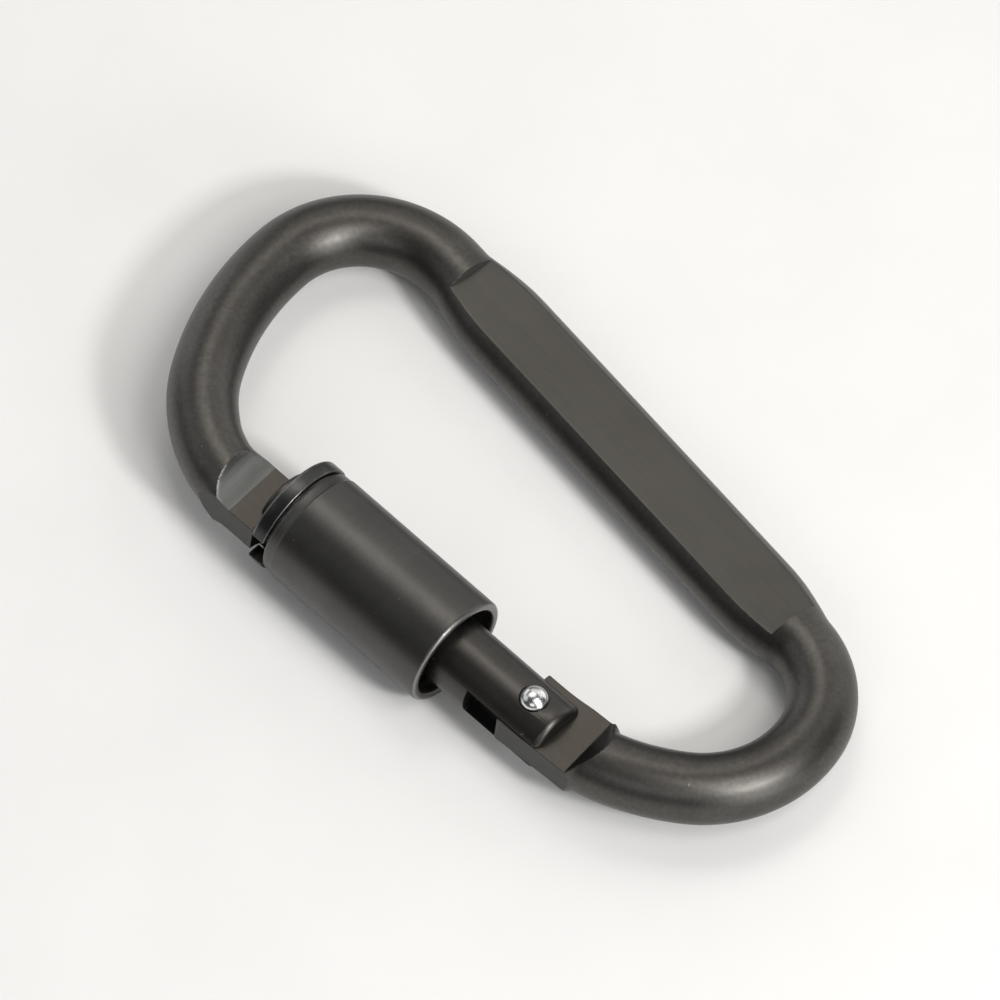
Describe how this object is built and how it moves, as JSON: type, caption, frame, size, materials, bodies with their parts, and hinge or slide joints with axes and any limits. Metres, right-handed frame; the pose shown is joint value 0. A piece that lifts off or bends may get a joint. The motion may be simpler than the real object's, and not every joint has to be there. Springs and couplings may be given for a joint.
{
  "type": "locking carabiner",
  "caption": "D-shaped aluminium carabiner with a flat spine, a sprung hinged gate and a sleeve that slides and twists on the gate to lock it.",
  "frame": {"origin": "centre of the closed carabiner's bounding box, on the rod's mid-plane", "axes": "+X along the spine towards the hinge end, +Y from the gate towards the spine, +Z normal to the carabiner's plane, which lies flat"},
  "size_m": [0.0806, 0.0406, 0.0122],
  "materials": {
    "frame_anodised": "bead-blasted gunmetal grey anodising, satin, with milled flats",
    "gate_anodised": "turned, near-black satin anodising",
    "sleeve_anodised": "turned, dark grey satin anodising",
    "polished_steel": "polished",
    "spring_steel": "drawn wire and stamped sheet, plain"
  },
  "bodies": {
    "frame": {"frame": "frame_anodised"},
    "gate": {"gate": "gate_anodised", "hinge_rivet": "polished_steel", "latch_pin": "polished_steel", "guide_pin": "polished_steel", "spring_seat_washer": "spring_steel", "seat_snap_ring": "spring_steel", "gate_spring": "spring_steel", "sleeve_spring": "spring_steel"},
    "plunger": {"gate_plunger": "polished_steel"},
    "sleeve_carrier": {"sleeve_thrust_washer": "spring_steel"},
    "sleeve": {"lock_sleeve": "sleeve_anodised", "lock_ring": "sleeve_anodised"}
  },
  "joints": [
    {"name": "gate_hinge", "type": "hinge", "parent": "frame", "child": "gate", "pos_m": [0.0181, -0.01057, 0], "axis": [0, 0, -1], "range_deg": [0, 30], "stiffness_Nm_per_rad": 0.15, "springref_deg": -28.65},
    {"name": "plunger_slide", "type": "slide", "parent": "gate", "child": "plunger", "axis": [-0.9938, -0.1115, 0], "range_m": [0, 0.00078], "deforming": ["gate_spring"]},
    {"name": "sleeve_slide", "type": "slide", "parent": "gate", "child": "sleeve_carrier", "axis": [0.9938, 0.1115, 0], "range_m": [0, 0.004], "stiffness_N_per_m": 400, "springref_m": -0.008, "deforming": ["sleeve_spring"]},
    {"name": "sleeve_twist", "type": "hinge", "parent": "sleeve_carrier", "child": "sleeve", "pos_m": [-0.00178, -0.0128, 0], "axis": [-0.9938, -0.1115, 0], "range_deg": [0, 90]}
  ],
  "couplings": [
    {"joint": "plunger_slide", "follows": "gate_hinge", "m_per_rad": 0.0014}
  ]
}
